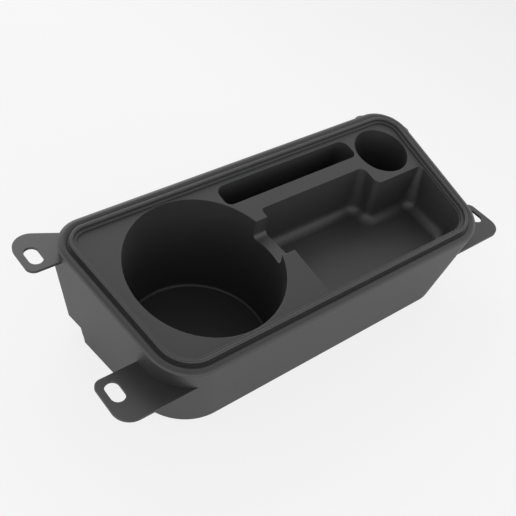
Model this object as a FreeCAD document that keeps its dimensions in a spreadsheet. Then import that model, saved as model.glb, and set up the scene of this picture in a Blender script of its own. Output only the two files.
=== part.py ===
import FreeCAD, Part
import math
import os
import Sketcher

# Car cup holder: one open-bottomed moulding with a sloping deck, a stepped rim,
# a large cup well, a slot, a small round well, a tray and four slotted ears.
# X runs along the length, Y to the back, Z up. The origin is the middle of the base.

NODE = "cup_holder_tray"

SIZES = [
    ("wall", 2.3, "wall of the tub and of the wells"),
    ("deck_height", 61.0, "deck above the base, on the centre line"),
    ("deck_tilt", 9.75, "slope of the deck, rising to the back, degrees"),
    ("clear_height", 100.0, "height of the cutting volumes above the base"),
    ("half_length", 114.35, "half length of the tub at the deck, on the centre line"),
    ("front_width", 53.3, "front wall from the centre line, at the deck's middle height"),
    ("back_width", 51.2, "back wall from the centre line, at the deck's middle height"),
    ("end_draft", 8.4, "lean of the end walls, degrees"),
    ("end_skew", 5.4, "turn of the end walls in plan, degrees"),
    ("front_draft", 9.3, "lean of the front wall, degrees"),
    ("back_draft", 2.9, "lean of the back wall, degrees"),
    ("front_left_base_radius", 29.0, "plan radius at the base"),
    ("front_right_base_radius", 24.0, "plan radius at the base"),
    ("back_left_base_radius", 6.5, "plan radius at the base"),
    ("back_right_base_radius", 9.0, "plan radius at the base"),
    ("front_left_radius", 24.0, "plan radius at the deck"),
    ("front_right_radius", 23.0, "plan radius at the deck"),
    ("back_left_radius", 17.0, "plan radius at the deck"),
    ("back_right_radius", 19.0, "plan radius at the deck"),
    ("corner_block", 24.0, "reach of the tight back left corner along its walls"),
    ("band_width", 5.0, "crowned outer band of the rim"),
    ("band_rise", 1.0, "top of the band above its outer edge"),
    ("band_outer_slope", 1.5, "outer slope of the band, across"),
    ("band_inner_slope", 1.7, "inner slope of the band, across"),
    ("crown_round", 3.0, "rounds between the band's slopes and its top"),
    ("groove_width", 0.7, "groove between band and bead"),
    ("groove_depth", 0.8, "groove below the band's top"),
    ("bead_width", 1.9, "raised bead"),
    ("bead_height", 2.7, "bead above the deck"),
    ("bead_round", 0.7, "round of the bead's top edges"),
    ("ledge_width", 1.6, "step inside the bead"),
    ("ledge_height", 1.2, "step above the deck"),
    ("ledge_round", 0.4, "round of the step's inner edge"),
    ("rim_edge_round", 1.2, "round of the rim's outer edge"),
    ("cup_end", 57.2, "cup well centre from the tub's left end"),
    ("cup_front_land", 11.3, "cup well's edge behind the front wall's top"),
    ("cup_back_land", 9.2, "cup well's edge in front of the back wall's top"),
    ("cup_draft", 1.07, "taper of the cup well, degrees"),
    ("cup_floor", 2.3, "cup well floor above the base"),
    ("cup_floor_round", 1.5, "round at the foot of the cup well"),
    ("lip_round", 0.25, "round of the openings' top edges"),
    ("pocket_end", 25.6, "small round well centre from the tub's right end"),
    ("pocket_back", 27.5, "small round well centre in front of the back wall's top"),
    ("pocket_radius", 16.7, "small round well at the deck"),
    ("pocket_draft", 1.0, "taper of the small round well, degrees"),
    ("pocket_floor", 12.0, "small round well floor above the base"),
    ("pocket_floor_round", 1.5, "round at the foot of the small round well"),
    ("slot_left", 32.7, "slot's left end from the cup well's centre"),
    ("slot_right", 43.5, "slot's right end from the tub's right end"),
    ("slot_front", 24.7, "slot's front side in front of the back wall's top"),
    ("slot_back", 11.2, "slot's back side in front of the back wall's top"),
    ("slot_front_radius", 4.0, "slot's front corners"),
    ("slot_back_radius", 5.5, "slot's back corners"),
    ("slot_floor", 17.0, "slot floor above the base"),
    ("slot_floor_round", 2.0, "round at the foot of the slot"),
    ("tray_left", 48.4, "tray's left side from the cup well's centre"),
    ("tray_back", 33.7, "tray's back side beside the slot, from the back wall's top"),
    ("tray_step_x", 20.85, "tray's side beside the small round well, from its centre"),
    ("tray_step_y", 47.3, "tray's back side by the small round well, from the same place"),
    ("tray_setback", 0.4, "deck left between the rim's step and the tray"),
    ("tray_depth", 27.0, "tray floor below the deck's middle height"),
    ("tray_draft", 3.0, "taper of the tray's left and back sides, degrees"),
    ("tray_top", 65.0, "height above the base where the tray's corners are tightest"),
    ("tray_corner_radius", 2.0, "tray's back corners at the deck"),
    ("tray_left_corner_radius", 0.3, "tray's front left corner above the deck"),
    ("tray_left_foot_radius", 6.7, "tray's front left corner at the floor"),
    ("tray_step_radius", 4.0, "tray's corners beside the small round well"),
    ("tray_front_radius", 14.0, "tray's front right corner"),
    ("tray_foot_radius", 7.6, "tray's corners at the floor"),
    ("tray_floor_round", 6.0, "round at the foot of the tray's sides"),
    ("notch_front", -12.4, "notch's front side"),
    ("notch_back", 11.5, "notch's back side"),
    ("notch_depth", 10.0, "notch floor below the deck's middle height"),
    ("notch_round", 3.0, "round at the foot of the notch's sides"),
    ("ear_thickness", 1.5, "ear plates"),
    ("ear_overhang", 19.35, "ears' outer edges beyond the tub's ends"),
    ("ear_root", 40.0, "ears' inner ends, inside the tub, from the tub's ends"),
    ("ear_slot_inset", 7.1, "ear slots' middle line from the ears' outer edges"),
    ("ear_slot_width", 7.4, "ear slots across"),
    ("ear_slot_length", 12.5, "ear slots over all, along Y"),
    ("ear_small_radius", 4.5, "ears' inner corners"),
    ("front_left_drop", 21.4, "front left ear's top below the deck's middle height"),
    ("front_right_drop", 23.0, "front right ear's top below the deck's middle height"),
    ("front_ear_slot_y", 23.5, "front ear slots behind the front wall's top"),
    ("front_ear_back", 33.2, "front ears' back edge behind the front wall's top"),
    ("front_ear_front", 5.2, "front ears' front edge behind the front wall's top"),
    ("front_ear_radius", 9.4, "front ears' outer front corners"),
    ("back_left_drop", 1.0, "back left ear's top below the deck's middle height"),
    ("back_right_drop", 6.5, "back right ear's top below the deck's middle height"),
    ("back_ear_slot_y", 3.6, "back ear slots in front of the back wall's top"),
    ("back_ear_front", 13.6, "back ears' front edge in front of the back wall's top"),
    ("back_left_apex", 18.0, "outer end of the left ear's oblique edge behind the back wall"),
    ("back_left_slant", 27.5, "oblique back edge of the left ear, degrees"),
    ("back_right_apex", 8.6, "outer end of the right ear's oblique edge behind the back wall"),
    ("back_right_slant", 20.7, "oblique back edge of the right ear, degrees"),
    ("back_left_ear_radius", 9.2, "back left ear's outer back corner"),
    ("back_right_ear_radius", 11.0, "back right ear's outer back corner"),
    ("wing_left", 8.35, "left end of the back right ear from the tub's right end"),
    ("wing_radius", 7.0, "back right ear's corner behind the back wall"),
    ("rebate_depth", 1.2, "step in the left end wall near its back corner"),
    ("rebate_top_y", 15.6, "that step at the deck, in front of the back wall's top"),
    ("rebate_foot_y", 20.7, "that step at the base, in front of the back wall's top"),
    ("skirt_notch_height", 8.5, "notch in the skirt's lower edge behind that step"),
    ("skirt_notch_reach", 18.35, "inner end of that notch from the tub's left end"),
    ("skirt_notch_radius", 4.0, "that notch's corners"),
    ("edge_round", 0.3, "round of small free edges"),
]

doc = FreeCAD.newDocument("cup_holder")
sheet = doc.addObject("Spreadsheet::Sheet", "sizes")
for row, (alias, value, note) in enumerate(SIZES, start=1):
    sheet.set("A%d" % row, alias)
    sheet.set("B%d" % row, str(value))
    sheet.set("C%d" % row, note)
    sheet.setAlias("B%d" % row, alias)
doc.recompute()

body = doc.addObject("PartDesign::Body", "moulding")
body.Label = NODE
planes = {feature.Role: feature for feature in body.Origin.OriginFeatures}


def value_of(expression):
    """The number that an expression of sheet values gives."""
    result = sheet.evalExpression(expression)
    return float(getattr(result, "Value", result))


def tan(name):
    return "tan(sizes.%s * 1deg)" % name


TILT = "(sizes.deck_tilt * 1deg)"
SLOPE = "tan%s" % TILT
CUP_X = "(sizes.cup_end - sizes.half_length)"
CUP_RADIUS = ("((sizes.front_width + sizes.back_width - sizes.cup_front_land"
              " - sizes.cup_back_land) / 2)")
CUP_Y = "(sizes.back_width - sizes.cup_back_land - %s)" % CUP_RADIUS
POCKET_X = "(sizes.half_length - sizes.pocket_end)"
POCKET_Y = "(sizes.back_width - sizes.pocket_back)"
TRAY_FLOOR = "(sizes.deck_height - sizes.tray_depth)"
NOTCH_FLOOR = "(sizes.deck_height - sizes.notch_depth)"
EAR_REACH = "(sizes.half_length + sizes.ear_overhang)"
EAR_ROOT = "(sizes.half_length - sizes.ear_root)"
BACK_LEFT_FOOT = "(sizes.deck_height - sizes.back_left_drop - sizes.ear_thickness)"


# Sketches

def plane_sketch(name, plane, height, tilted=False, shift="0"):
    """A sketch on one origin plane, lifted by height and, for the deck, tilted about X and
    shifted along Y."""
    sketch = body.newObject("Sketcher::SketchObject", name)
    sketch.AttachmentSupport = [(planes[plane], "")]
    sketch.MapMode = "FlatFace"
    turn = value_of("sizes.deck_tilt") if tilted else 0.0
    rotation = FreeCAD.Rotation(FreeCAD.Vector(1, 0, 0), turn)
    offset = FreeCAD.Vector(0, value_of(shift), value_of(height))
    sketch.AttachmentOffset = FreeCAD.Placement(offset, rotation)
    sketch.setExpression("AttachmentOffset.Base.z", height)
    if tilted:
        sketch.setExpression("AttachmentOffset.Base.y", shift)
        sketch.setExpression("AttachmentOffset.Rotation.Angle", TILT)
    return sketch


def bind(sketch, constraint, expression):
    index = sketch.addConstraint(constraint)
    sketch.setExpression("Constraints[%d]" % index, expression)


def outline(sketch, corners, radii):
    """Closed outline of straight sides: each corner is a place (x, y) and a radius, all
    expressions, and each side runs between its corners' tangent arcs."""
    points = [FreeCAD.Vector(value_of(x), value_of(y), 0) for x, y in corners]
    rounds = [value_of(radius) for radius in radii]
    count = len(points)
    starts, ends, arcs = [], [], []
    for i in range(count):
        before = (points[i - 1] - points[i]).normalize()
        after = (points[(i + 1) % count] - points[i]).normalize()
        half_angle = before.getAngle(after) / 2
        reach = rounds[i] / math.tan(half_angle)
        middle = (before + after).normalize()
        distance = (reach ** 2 + rounds[i] ** 2) ** 0.5
        centre = points[i] + middle * distance
        ends.append(points[i] + before * reach)
        starts.append(points[i] + after * reach)
        arcs.append(short_arc(centre, rounds[i], ends[i], starts[i]))
    sides = []
    for i in range(count):
        line = Part.LineSegment(starts[i], ends[(i + 1) % count])
        sides.append(sketch.addGeometry(line, False))
    bends = [sketch.addGeometry(arc, False) for arc in arcs]
    marks = [sketch.addGeometry(Part.Point(point), True) for point in points]
    for i in range(count):
        x, y = corners[i]
        bind(sketch, Sketcher.Constraint("DistanceX", marks[i], 1, points[i].x), x)
        bind(sketch, Sketcher.Constraint("DistanceY", marks[i], 1, points[i].y), y)
        bind(sketch, Sketcher.Constraint("Radius", bends[i], rounds[i]), radii[i])
        sketch.addConstraint(Sketcher.Constraint("PointOnObject", marks[i], 1, sides[i]))
        sketch.addConstraint(Sketcher.Constraint("PointOnObject", marks[i], 1, sides[i - 1]))
        for side, side_end, place in ((sides[i - 1], 2, ends[i]), (sides[i], 1, starts[i])):
            arc_end = nearest_end(sketch.Geometry[bends[i]], place)
            sketch.addConstraint(
                Sketcher.Constraint("Tangent", side, side_end, bends[i], arc_end))


def nearest_end(arc, place):
    return 1 if arc.StartPoint.distanceToPoint(place) < arc.EndPoint.distanceToPoint(place) else 2


def short_arc(centre, radius, one, other):
    """The shorter arc about centre between two of its points, counterclockwise."""
    first, last = (math.atan2(p.y - centre.y, p.x - centre.x) for p in (one, other))
    if (last - first) % (2 * math.pi) > math.pi:
        first, last = last, first
    ring = Part.Circle(centre, FreeCAD.Vector(0, 0, 1), radius)
    return Part.ArcOfCircle(ring, first, last if last > first else last + 2 * math.pi)


def round_slot(sketch, x, low, high, radius):
    """Slot along Y with half-round ends about (x, low) and (x, high)."""
    size = value_of(radius)
    centres = [FreeCAD.Vector(value_of(x), value_of(y), 0) for y in (high, low)]
    across = FreeCAD.Vector(size, 0, 0)
    ends = []
    for number, centre in enumerate(centres):
        ring = Part.Circle(centre, FreeCAD.Vector(0, 0, 1), size)
        arc = Part.ArcOfCircle(ring, number * math.pi, (number + 1) * math.pi)
        ends.append(sketch.addGeometry(arc, False))
    left = sketch.addGeometry(
        Part.LineSegment(centres[0] - across, centres[1] - across), False)
    right = sketch.addGeometry(
        Part.LineSegment(centres[1] + across, centres[0] + across), False)
    for end, y, centre in zip(ends, (high, low), centres):
        bind(sketch, Sketcher.Constraint("DistanceX", end, 3, centre.x), x)
        bind(sketch, Sketcher.Constraint("DistanceY", end, 3, centre.y), y)
        bind(sketch, Sketcher.Constraint("Radius", end, size), radius)
    loop = [ends[0], left, ends[1], right]
    for i in range(4):
        sketch.addConstraint(Sketcher.Constraint("Tangent", loop[i - 1], 2, loop[i], 1))


# Features

def pad(name, sketch, length):
    feature = body.newObject("PartDesign::Pad", name)
    feature.Profile = sketch
    feature.setExpression("Length", length)
    return feature


def pocket(name, sketch, length, upward=False):
    feature = body.newObject("PartDesign::Pocket", name)
    feature.Profile = sketch
    feature.Type = "Length"
    feature.Reversed = upward
    feature.setExpression("Length", length)
    return feature


def loft(kind, name, first, second):
    feature = body.newObject("PartDesign::%sLoft" % kind, name)
    feature.Profile = first
    feature.Sections = [second]
    feature.Ruled = True
    return feature


def cone(kind, name, place, foot, top, height):
    """Upright cone at place (x, y, z), with its foot and top radii."""
    feature = body.newObject("PartDesign::%sCone" % kind, name)
    feature.AttachmentSupport = [(planes["XY_Plane"], "")]
    feature.MapMode = "FlatFace"
    for axis, expression in zip("xyz", place):
        feature.setExpression("AttachmentOffset.Base." + axis, expression)
    feature.setExpression("Radius1", foot)
    feature.setExpression("Radius2", top)
    feature.setExpression("Height", height)
    return feature


def fillet(name, radius, chosen):
    """Round of the edges of the body so far for which chosen(edge) is true."""
    doc.recompute()
    base = body.Tip
    names = ["Edge%d" % (i + 1) for i, edge in enumerate(base.Shape.Edges) if chosen(edge)]
    feature = body.newObject("PartDesign::Fillet", name)
    feature.Base = (base, names)
    feature.setExpression("Radius", radius)
    doc.recompute()
    return feature


# Tub

def tub_corners(height, slope, inset):
    """Corners of the tub in plan where a plane meets its walls: height is the plane's height
    on the centre line, slope its rise along Y, and inset is measured in the plane."""
    stretch = "sqrt(1 + (%s) ^ 2)" % slope
    level = "(%s - sizes.deck_height)" % height
    front = "(-(sizes.front_width + %s * %s) / (1 + %s * %s) * %s + %s)" % (
        tan("front_draft"), level, tan("front_draft"), slope, stretch, inset)
    back = "((sizes.back_width + %s * %s) / (1 - %s * %s) * %s - (%s))" % (
        tan("back_draft"), level, tan("back_draft"), slope, stretch, inset)
    skew = "((%s + %s * %s) / %s)" % (tan("end_skew"), tan("end_draft"), slope, stretch)
    half = "(sizes.half_length + %s * %s - (%s) * sqrt(1 + %s ^ 2))" % (
        tan("end_draft"), level, inset, skew)
    reach_front = "(%s + %s * %s)" % (half, skew, front)
    reach_back = "(%s + %s * %s)" % (half, skew, back)
    return [("-" + reach_front, front), (reach_front, front),
            (reach_back, back), ("-" + reach_back, back)]


CORNERS = ("front_left", "front_right", "back_right", "back_left")


def deck_level(lift):
    """Height on the centre line of the plane that lies lift above the deck."""
    return "(sizes.deck_height + (%s) / cos%s)" % (lift, TILT)


def base_outline(name, inset):
    sketch = plane_sketch(name, "XY_Plane", "0")
    radii = ["sizes.%s_base_radius - (%s)" % (corner, inset) for corner in CORNERS]
    outline(sketch, tub_corners("0", "0", inset), radii)
    return sketch


def deck_outline(name, lift, inset):
    """Tub's outline in a plane parallel to the deck, between the leaning walls."""
    sketch = plane_sketch(name, "XY_Plane", deck_level(lift), tilted=True)
    radii = ["sizes.%s_radius - (%s)" % (corner, inset) for corner in CORNERS]
    outline(sketch, tub_corners(deck_level(lift), SLOPE, inset), radii)
    return sketch


def rim_outline(name, lift, inset):
    """Deck's outline moved square to the deck, so that the rim's steps stand square on it."""
    sketch = plane_sketch(name, "XY_Plane", "sizes.deck_height + (%s) * cos%s" % (lift, TILT),
                          tilted=True, shift="-(%s) * sin%s" % (lift, TILT))
    radii = ["sizes.%s_radius - (%s)" % (corner, inset) for corner in CORNERS]
    outline(sketch, tub_corners(deck_level("0"), SLOPE, inset), radii)
    return sketch


def tub():
    loft("Additive", "tub", base_outline("tub_base", "0"), deck_outline("tub_deck", "0", "0"))
    back_left_corner("Additive", "tight_corner", "0")


def hollow():
    inner_base = base_outline("hollow_base", "sizes.wall")
    inner_deck = deck_outline("hollow_deck", "-sizes.wall", "sizes.wall")
    loft("Subtractive", "hollow", inner_base, inner_deck)
    back_left_corner("Subtractive", "tight_corner_hollow", "sizes.wall")


def back_left_corner(kind, name, inset):
    """Below the ears the tub's back left corner keeps the tight radius of its foot."""
    sketches = []
    for suffix, height in (("_foot", "0"), ("_head", BACK_LEFT_FOOT)):
        x, y = tub_corners(height, "0", inset)[3]
        near_x = "(%s + %s * sizes.corner_block)" % (x, tan("end_skew"))
        near_y = "(%s - sizes.corner_block)" % y
        far_x = "(%s + sizes.corner_block)" % x
        sketch = plane_sketch(name + suffix, "XY_Plane", height)
        radius = "sizes.back_left_base_radius - (%s)" % inset
        places = [(near_x, near_y), (far_x, near_y), (far_x, y), (x, y)]
        outline(sketch, places, ["sizes.edge_round"] * 3 + [radius])
        sketches.append(sketch)
    loft(kind, name, *sketches)


def rebate_outline(name, height):
    """Strip outside the stepped-back face of the left end wall, at one height."""
    half = "(sizes.half_length + %s * (%s - sizes.deck_height))" % (tan("end_draft"), height)
    face = "(%s - sizes.rebate_depth / cos(sizes.end_skew * 1deg))" % half
    rise = "(sizes.rebate_foot_y - sizes.rebate_top_y) / sizes.deck_height"
    step = "(sizes.back_width - sizes.rebate_foot_y + %s * %s)" % (rise, height)
    far = "(sizes.back_width + sizes.back_right_radius)"
    outside = "(-%s)" % EAR_REACH
    sketch = plane_sketch(name, "XY_Plane", height)
    corners = [(outside, step), ("-(%s + %s * %s)" % (face, tan("end_skew"), step), step),
               ("-(%s + %s * %s)" % (face, tan("end_skew"), far), far), (outside, far)]
    outline(sketch, corners, ["sizes.edge_round"] * 4)
    return sketch


def rebate():
    """The left end wall steps back near its back corner, and its lower edge is cut there."""
    loft("Subtractive", "rebate", rebate_outline("rebate_foot", "0"),
         rebate_outline("rebate_head", BACK_LEFT_FOOT))
    sketch = plane_sketch("skirt_notch_outline", "YZ_Plane", "-" + EAR_REACH)
    front = "(sizes.back_width - sizes.rebate_foot_y)"
    back = "(sizes.back_width + sizes.back_right_radius)"
    low, high = "-sizes.skirt_notch_height", "sizes.skirt_notch_height"
    corners = [(front, low), (back, low), (back, high), (front, high)]
    outline(sketch, corners, ["sizes.skirt_notch_radius"] * 4)
    pocket("skirt_notch", sketch, "sizes.ear_overhang + sizes.skirt_notch_reach", upward=True)


# Ears

def ear_plate(name, corners, radii, top):
    sketch = plane_sketch(name + "_outline", "XY_Plane", "%s - sizes.ear_thickness" % top)
    outline(sketch, corners, radii)
    pad(name, sketch, "sizes.ear_thickness")


def ear_slot(name, side, y, top):
    """Slot through an ear, with round ends along Y."""
    sketch = plane_sketch(name + "_outline", "XY_Plane", top)
    x = "%d * (%s - sizes.ear_slot_inset)" % (side, EAR_REACH)
    half = "(sizes.ear_slot_length - sizes.ear_slot_width) / 2"
    round_slot(sketch, x, "%s - %s" % (y, half), "%s + %s" % (y, half),
               "sizes.ear_slot_width / 2")
    pocket(name, sketch, "sizes.ear_thickness")


def front_ear(side, hand):
    """Plate nearly flush with the front wall; the tub's hollow cuts away its inner part."""
    front = "(-sizes.front_width + sizes.front_ear_front)"
    back = "(-sizes.front_width + sizes.front_ear_back)"
    outer = "%d * %s" % (side, EAR_REACH)
    inner = "%d * %s" % (side, EAR_ROOT)
    corners = [(outer, back), (outer, front), (inner, front), (inner, back)]
    radii = ["sizes.ear_small_radius", "sizes.front_ear_radius"] + ["sizes.wall"] * 2
    top = "(sizes.deck_height - sizes.front_%s_drop)" % hand
    ear_plate("front_%s_ear" % hand, corners, radii, top)
    slot_y = "(-sizes.front_width + sizes.front_ear_slot_y)"
    return "front_%s_slot" % hand, side, slot_y, top


def back_ear(side, hand, inner):
    """Plate with an oblique back edge that falls from the tub to the ear's outer edge."""
    outer = "%d * %s" % (side, EAR_REACH)
    front = "(sizes.back_width - sizes.back_ear_front)"
    apex = "(sizes.back_width + sizes.back_%s_apex)" % hand
    slant = tan("back_%s_slant" % hand)
    if hand == "left":
        slant = "-" + slant
    run_in = "(%s + %s * (%s - %s))" % (apex, slant, EAR_REACH, inner)
    root = "%d * %s" % (side, inner)
    corners = [(outer, front), (outer, apex), (root, run_in), (root, front)]
    radii = ["sizes.ear_small_radius", "sizes.back_%s_ear_radius" % hand, "sizes.wing_radius",
             "sizes.wall"]
    top = "(sizes.deck_height - sizes.back_%s_drop)" % hand
    ear_plate("back_%s_ear" % hand, corners, radii, top)
    slot_y = "(sizes.back_width - sizes.back_ear_slot_y)"
    return "back_%s_slot" % hand, side, slot_y, top


# Wells, slot and tray: first their outer volumes, then the openings

def round_well(kind, name, x, y, radius, draft, floor, wall):
    """Tapered round volume from the floor up, wall larger than the well all round."""
    foot = "(%s - tan(%s * 1deg) * (sizes.deck_height - %s) + %s)" % (radius, draft, floor, wall)
    low = "(%s - %s)" % (floor, wall)
    height = "(sizes.clear_height - %s)" % low
    top = "(%s + tan(%s * 1deg) * %s)" % (foot, draft, height)
    cone(kind, name, (x, y, low), foot, top, height)


def cup_well(kind, name, wall):
    round_well(kind, name, CUP_X, CUP_Y, CUP_RADIUS, "sizes.cup_draft", "sizes.cup_floor",
               wall)


def small_well(kind, name, wall):
    round_well(kind, name, POCKET_X, POCKET_Y, "sizes.pocket_radius",
               "sizes.pocket_draft", "sizes.pocket_floor", wall)


def slot_outline(name, height, grow):
    sketch = plane_sketch(name, "XY_Plane", height)
    left = "%s + sizes.slot_left - %s" % (CUP_X, grow)
    right = "sizes.half_length - sizes.slot_right + " + grow
    front = "sizes.back_width - sizes.slot_front - " + grow
    back = "sizes.back_width - sizes.slot_back + " + grow
    corners = [(left, front), (right, front), (right, back), (left, back)]
    radii = ["sizes.slot_front_radius + " + grow] * 2 + ["sizes.slot_back_radius + " + grow] * 2
    outline(sketch, corners, radii)
    return sketch


def tray_outline(name, height, radii, grow):
    """Tray in plan at a height: its front and right sides follow the tub's walls inside the
    rim, and its back side steps round the small well."""
    level = "(%s - sizes.deck_height)" % height
    lean = "(%s * %s)" % (tan("tray_draft"), level)
    rim = "(sizes.band_width + sizes.groove_width + sizes.bead_width + sizes.ledge_width)"
    inset = "(%s + sizes.tray_setback - %s)" % (rim, grow)
    front_shift = "(%s * (cos%s + %s * sin%s))" % (inset, TILT, tan("front_draft"), TILT)
    skew = "((%s + %s * %s) * cos%s)" % (tan("end_skew"), tan("end_draft"), SLOPE, TILT)
    right_shift = "(%s * sqrt(1 + %s ^ 2))" % (inset, skew)
    front = "(-(sizes.front_width + %s * %s) + %s)" % (tan("front_draft"), level, front_shift)
    left = "(%s + sizes.tray_left - %s - %s)" % (CUP_X, lean, grow)
    back = "(sizes.back_width - sizes.tray_back + %s + %s)" % (lean, grow)
    step_x = "(%s - sizes.tray_step_x + %s + %s)" % (POCKET_X, lean, grow)
    step_y = "(sizes.back_width - sizes.tray_step_y + %s + %s)" % (lean, grow)
    half = "(sizes.half_length + %s * %s - %s)" % (tan("end_draft"), level, right_shift)
    right_front = "(%s + %s * %s)" % (half, tan("end_skew"), front)
    right_back = "(%s + %s * %s)" % (half, tan("end_skew"), step_y)
    sketch = plane_sketch(name, "XY_Plane", height)
    corners = [(left, front), (right_front, front), (right_back, step_y), (step_x, step_y),
               (step_x, back), (left, back)]
    outline(sketch, corners, radii)
    return sketch


def tray(kind, name, floor, grow):
    foot = "sizes.tray_foot_radius"
    foot_radii = ["sizes.tray_left_foot_radius", "sizes.tray_front_radius", foot,
                  "sizes.tray_step_radius", foot, foot]
    corner = "sizes.tray_corner_radius"
    top_radii = ["sizes.tray_left_corner_radius", "sizes.tray_front_radius", corner,
                 "sizes.tray_step_radius", "sizes.tray_step_radius", corner]
    low = tray_outline(name + "_foot", floor, foot_radii, grow)
    high = tray_outline(name + "_top", "sizes.tray_top", top_radii, grow)
    loft(kind, name, low, high)


def outer_volumes():
    cup_well("Additive", "cup_shell", "sizes.wall")
    small_well("Additive", "small_well_shell", "sizes.wall")
    low = "(sizes.slot_floor - sizes.wall)"
    shell = slot_outline("slot_shell_outline", low, "sizes.wall")
    pad("slot_shell", shell, "sizes.clear_height - " + low)
    tray("Additive", "tray_shell", "(%s - sizes.wall)" % TRAY_FLOOR, "sizes.wall")
    pad("notch_shell", notch_outline("notch_shell_outline", "sizes.wall"), notch_length())


def openings():
    cup_well("Subtractive", "cup_well", "0")
    small_well("Subtractive", "small_well", "0")
    slot = slot_outline("slot_outline", "sizes.clear_height", "0")
    pocket("slot", slot, "sizes.clear_height - sizes.slot_floor")
    tray("Subtractive", "tray", TRAY_FLOOR, "0")


def notch_outline(name, grow):
    sketch = plane_sketch(name, "YZ_Plane", CUP_X)
    front, back = "sizes.notch_front - " + grow, "sizes.notch_back + " + grow
    low, high = "%s - %s" % (NOTCH_FLOOR, grow), "sizes.clear_height"
    corners = [(front, low), (back, low), (back, high), (front, high)]
    outline(sketch, corners, ["sizes.notch_round + " + grow] * 4)
    return sketch


def notch_length():
    """From the cup well's centre line to just past the tray's left side."""
    return "(sizes.tray_left + sizes.wall)"


def notch():
    """Passage between the cup well and the tray."""
    pocket("notch", notch_outline("notch_outline", "0"), notch_length(), upward=True)


def edge_points(edge):
    return [edge.valueAt(parameter) for parameter in (
        edge.FirstParameter, (edge.FirstParameter + edge.LastParameter) / 2, edge.LastParameter)]


def level_with(height, tilted=False):
    """Test for edges that lie in the plane of that height, level or along the deck."""
    rise = math.tan(math.radians(value_of("sizes.deck_tilt"))) if tilted else 0.0
    level = value_of(height)

    def test(edge):
        return all(abs(p.z - level - rise * p.y) < 0.01 for p in edge_points(edge))
    return test


def floor_rounds():
    floors = (("tray", TRAY_FLOOR), ("slot", "sizes.slot_floor"), ("cup", "sizes.cup_floor"),
              ("pocket", "sizes.pocket_floor"))
    for name, floor in floors:
        fillet(name + "_foot_round", "sizes.%s_floor_round" % name, level_with(floor))


# Rim

def trim_above_deck():
    sketch = plane_sketch("trim_outline", "XY_Plane", deck_level("0"), tilted=True)
    reach = EAR_REACH + " * 2"
    corners = [("-" + reach, "-" + reach), (reach, "-" + reach), (reach, reach),
               ("-" + reach, reach)]
    outline(sketch, corners, ["sizes.wall"] * 4)
    pocket("trim", sketch, "sizes.clear_height", upward=True)


def rim():
    """Crowned band, groove, bead and step, from the outer edge inwards."""
    groove = "sizes.band_width"
    bead = groove + " + sizes.groove_width"
    ledge = bead + " + sizes.bead_width"
    deck = ledge + " + sizes.ledge_width"
    band_top = rim_outline("band_top", "sizes.band_rise", "sizes.band_outer_slope")
    loft("Additive", "band", rim_outline("band_foot", "0", "0"), band_top)
    fillet("rim_edge_round", "sizes.rim_edge_round", level_with(deck_level("0"), tilted=True))
    groove_floor = "(sizes.band_rise - sizes.groove_depth)"
    loft("Subtractive", "groove", rim_outline("groove_foot", groove_floor, groove),
         rim_outline("groove_head", "sizes.band_rise",
                     groove + " - sizes.band_inner_slope"))
    fillet("crown_round", "sizes.crown_round",
           level_with(deck_level("sizes.band_rise"), tilted=True))
    pad("bead", rim_outline("bead_outline", groove_floor, bead),
        "sizes.bead_height - " + groove_floor)
    pocket("ledge", rim_outline("ledge_outline", "sizes.bead_height", ledge),
           "sizes.bead_height - sizes.ledge_height")
    fillet("bead_round", "sizes.bead_round",
           level_with(deck_level("sizes.bead_height"), tilted=True))
    on_ledge = level_with(deck_level("sizes.ledge_height"), tilted=True)
    bead_foot = middles(on_ledge)
    pocket("deck", rim_outline("deck_outline", "sizes.ledge_height", deck),
           "sizes.ledge_height")
    fillet("ledge_round", "sizes.ledge_round", new_edges(on_ledge, bead_foot))


def middles(chosen):
    doc.recompute()
    return [edge_points(edge)[1] for edge in body.Tip.Shape.Edges if chosen(edge)]


def new_edges(chosen, before):
    """Test for the chosen edges that were not there before: none of their middles was."""
    def test(edge):
        middle = edge_points(edge)[1]
        return chosen(edge) and all(middle.distanceToPoint(old) > 0.01 for old in before)
    return test


tub()
rebate()
ears = [front_ear(-1, "left"), front_ear(1, "right"),
        back_ear(-1, "left", EAR_ROOT),
        back_ear(1, "right", "(sizes.half_length - sizes.wing_left)")]
hollow()
outer_volumes()
trim_above_deck()
rim()
on_deck = level_with(deck_level("0"), tilted=True)
rim_foot = middles(on_deck)
openings()
floor_rounds()
notch()
fillet("lip_round", "sizes.lip_round", new_edges(on_deck, rim_foot))
for ear in ears:
    ear_slot(*ear)
doc.recompute()

for feature in doc.Objects:
    if "Invalid" in feature.State or "Error" in feature.State:
        raise RuntimeError("%s failed: %s" % (feature.Label, feature.State))
shape = body.Shape
if shape.isNull() or not shape.isValid():
    raise RuntimeError("the moulding is not a valid solid")
print("solids", len(shape.Solids), "volume", round(shape.Volume), "box", shape.BoundBox)
os.makedirs("parts", exist_ok=True)
shape.exportStep("parts/%s.step" % body.Label)
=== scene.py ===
import math

import bpy
from mathutils import Matrix, Vector

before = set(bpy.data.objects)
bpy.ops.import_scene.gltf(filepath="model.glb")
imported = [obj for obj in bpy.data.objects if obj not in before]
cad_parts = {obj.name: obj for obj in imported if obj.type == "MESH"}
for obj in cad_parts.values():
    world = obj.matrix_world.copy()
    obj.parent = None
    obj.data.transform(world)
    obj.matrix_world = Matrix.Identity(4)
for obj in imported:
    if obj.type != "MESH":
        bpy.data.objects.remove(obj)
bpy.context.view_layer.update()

# Car cup holder of matt charcoal plastic, moulded in one piece, on a plain pale floor.
# Lengths are in metres.

MM = 0.001
MOULDING = "cup_holder_tray"

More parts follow.
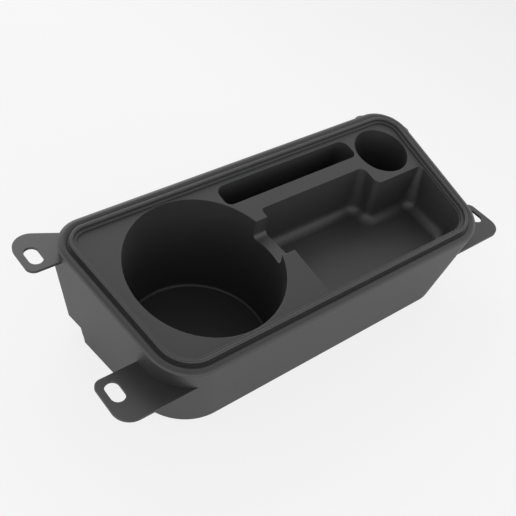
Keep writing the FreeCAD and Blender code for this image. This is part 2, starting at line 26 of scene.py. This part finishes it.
CAMERA_PLACE = Vector((-247.95, -219.89, 351.18)) * MM
CAMERA_FORWARD = Vector((0.51726, 0.50257, -0.69272))
CAMERA_ROLL = math.radians(11.47)
SENSOR_WIDTH = 36.0
PICTURE_WIDTH_PIXELS = 516
FOCAL_LENGTH_PIXELS = 820.35
LENS = SENSOR_WIDTH * FOCAL_LENGTH_PIXELS / PICTURE_WIDTH_PIXELS

SKY_TOP = 0.22
SKY_FOOT = 1.65
LAMP_PLACE = Vector((0.31, 1.14, 0.92))
LAMP_WIDTH = 0.8
LAMP_POWER = 4.2
FLOOR_HALF_WIDTH = 3.0
FLOOR_PALE = (0.957, 0.957, 0.957, 1)
# Painted shade: the floor's colour away from the viewer, darker to stand in for the
# light falling off.
FLOOR_SHADED = (0.750, 0.750, 0.750, 1)
FLOOR_ROUGHNESS = 0.9
FLOOR_SHADE_ALONG = (0.75, 0.25)
FLOOR_SHADE_START = 0.12
FLOOR_SHADE_LENGTH = 0.75
FLOOR_SHADOW_SHARE = 0.16
FLOOR_MIRROR_SHARE = 0.41

PLASTIC_COLOUR = (0.017, 0.017, 0.0175, 1)
PLASTIC_WORN = (0.025, 0.025, 0.0255, 1)
PLASTIC_SHEEN_LEVEL = 1.0
PLASTIC_ROUGHNESS = 0.46
ROUGHNESS_SPREAD = 0.10
CLOUD_SIZE = 38 * MM
CLOUD_SHARE = 0.4
GRAIN_SIZE = 0.55 * MM
GRAIN_DEPTH = 0.018 * MM
GRAIN_STRENGTH = 0.6
NOISE_DETAIL = 3.0


# Shader values

class Signal:
    """A shader socket that Python's arithmetic works on."""

    def __init__(self, tree, socket):
        self.tree = tree
        self.socket = socket

    def node(self, kind, inputs, output=0, **settings):
        made = self.tree.nodes.new(kind)
        for name, value in settings.items():
            setattr(made, name, value)
        for name, value in inputs.items():
            if isinstance(value, Signal):
                self.tree.links.new(value.socket, made.inputs[name])
            else:
                made.inputs[name].default_value = value
        return Signal(self.tree, made.outputs[output])

    def math(self, operation, first, second):
        return self.node("ShaderNodeMath", {0: first, 1: second}, operation=operation)

    def __add__(self, other):
        return self.math("ADD", self, other)

    def __radd__(self, other):
        return self.math("ADD", other, self)

    def __sub__(self, other):
        return self.math("SUBTRACT", self, other)

    def __rsub__(self, other):
        return self.math("SUBTRACT", other, self)

    def __mul__(self, other):
        return self.math("MULTIPLY", self, other)

    def __rmul__(self, other):
        return self.math("MULTIPLY", other, self)

    def __truediv__(self, other):
        return self.math("DIVIDE", self, other)

    def parts(self):
        split = self.node("ShaderNodeSeparateXYZ", {0: self}).socket.node
        return [Signal(self.tree, output) for output in split.outputs]

    def clamped(self):
        return self.node("ShaderNodeClamp", {"Value": self})

    def blend(self, low, high):
        """Colour from low, where this is 0, to high, where it is 1."""
        return self.node("ShaderNodeMix", {"Factor": self, 6: low, 7: high}, output=2,
                         data_type="RGBA")

    def link_to(self, socket):
        self.tree.links.new(self.socket, socket)


def new_material(name):
    """A material, its Principled shader, and the object's own coordinates."""
    material = bpy.data.materials.new(name)
    material.use_nodes = True
    tree = material.node_tree
    shader = tree.nodes["Principled BSDF"]
    place = Signal(tree, tree.nodes.new("ShaderNodeTexCoord").outputs["Object"])
    return material, shader, place


def noise(place, size):
    inputs = {"Vector": place, "Scale": 1 / size, "Detail": NOISE_DETAIL}
    return place.node("ShaderNodeTexNoise", inputs, output="Fac")


def charcoal_plastic():
    """Matt moulded plastic: fine even grain, faint clouding of tone and gloss."""
    material, shader, place = new_material("charcoal_plastic")
    cloud = noise(place, CLOUD_SIZE)
    grain = noise(place, GRAIN_SIZE)
    cloud.blend(PLASTIC_COLOUR, PLASTIC_WORN).link_to(shader.inputs["Base Color"])
    unevenness = cloud * CLOUD_SHARE + grain * (1 - CLOUD_SHARE)
    roughness = PLASTIC_ROUGHNESS + ROUGHNESS_SPREAD * unevenness
    roughness.link_to(shader.inputs["Roughness"])
    relief = {"Height": grain, "Distance": GRAIN_DEPTH, "Strength": GRAIN_STRENGTH}
    bump = place.node("ShaderNodeBump", relief, output="Normal")
    bump.link_to(shader.inputs["Normal"])
    shader.inputs["Specular IOR Level"].default_value = PLASTIC_SHEEN_LEVEL
    return material


def floor_paint():
    """Pale floor with painted shade that darkens it a little away from the viewer; it
    keeps a faint shadow.
    """
    material, shader, place = new_material("floor_paint")
    tree = place.tree
    x, y, _ = place.parts()
    along_x, along_y = FLOOR_SHADE_ALONG
    # Painted shade: the floor colour darkens a little away from the viewer, where the
    # light falls off.
    painted_shade = (x * along_x + y * along_y - FLOOR_SHADE_START) / FLOOR_SHADE_LENGTH
    tone = painted_shade.clamped().blend(FLOOR_PALE, FLOOR_SHADED)
    tone.link_to(shader.inputs["Base Color"])
    shader.inputs["Roughness"].default_value = FLOOR_ROUGHNESS
    shader.inputs["Specular IOR Level"].default_value = 0.0
    path = tree.nodes.new("ShaderNodeLightPath")
    seen = Signal(tree, path.outputs["Is Camera Ray"])
    mirrored = Signal(tree, path.outputs["Is Glossy Ray"])
    through = Signal(tree, path.outputs["Is Transmission Ray"])
    plain = (seen + through + mirrored * FLOOR_MIRROR_SHARE).clamped()
    share = plain * (1 - FLOOR_SHADOW_SHARE)
    glow = place.node("ShaderNodeEmission", {"Color": tone})
    lit = Signal(tree, shader.outputs["BSDF"])
    mixed = place.node("ShaderNodeMixShader", {0: share, 1: lit, 2: glow})
    mixed.link_to(tree.nodes["Material Output"].inputs["Surface"])
    return material


# Pieces

def dress_moulding():
    plastic = charcoal_plastic()
    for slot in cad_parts[MOULDING].material_slots:
        slot.material = plastic


# Set

def lay_floor():
    bpy.ops.object.select_all(action="DESELECT")
    bpy.ops.mesh.primitive_plane_add(size=2 * FLOOR_HALF_WIDTH, location=(0, 0, 0))
    floor = bpy.context.object
    floor.name = "floor"
    floor.data.materials.append(floor_paint())


def light_sky():
    """Even white surroundings, brightest at the horizon."""
    world = bpy.data.worlds.new("soft_sky")
    bpy.context.scene.world = world
    world.use_nodes = True
    tree = world.node_tree
    sky = tree.nodes["Background"]
    sky.inputs["Color"].default_value = (1, 1, 1, 1)
    direction = Signal(tree, tree.nodes.new("ShaderNodeTexCoord").outputs["Generated"])
    _, _, z = direction.parts()
    strength = SKY_TOP + (SKY_FOOT - SKY_TOP) * (1 - z.clamped())
    strength.link_to(sky.inputs["Strength"])


def hang_lamp():
    """Soft box behind the moulding, on the viewer's left."""
    light = bpy.data.lights.new("soft_box", "AREA")
    light.size = LAMP_WIDTH
    light.energy = LAMP_POWER
    lamp = bpy.data.objects.new("soft_box", light)
    bpy.context.collection.objects.link(lamp)
    turn = (-LAMP_PLACE).to_track_quat("-Z", "Y").to_matrix().to_4x4()
    lamp.matrix_world = Matrix.Translation(LAMP_PLACE) @ turn


def place_camera():
    camera = bpy.data.objects.new("camera", bpy.data.cameras.new("camera"))
    bpy.context.collection.objects.link(camera)
    camera.data.lens = LENS
    camera.data.sensor_width = SENSOR_WIDTH
    turn = CAMERA_FORWARD.to_track_quat("-Z", "Y").to_matrix().to_4x4()
    roll = Matrix.Rotation(CAMERA_ROLL, 4, "Z")
    camera.matrix_world = Matrix.Translation(CAMERA_PLACE) @ turn @ roll
    bpy.context.scene.camera = camera


bpy.context.scene.view_settings.view_transform = "Standard"
dress_moulding()
lay_floor()
light_sky()
hang_lamp()
place_camera()
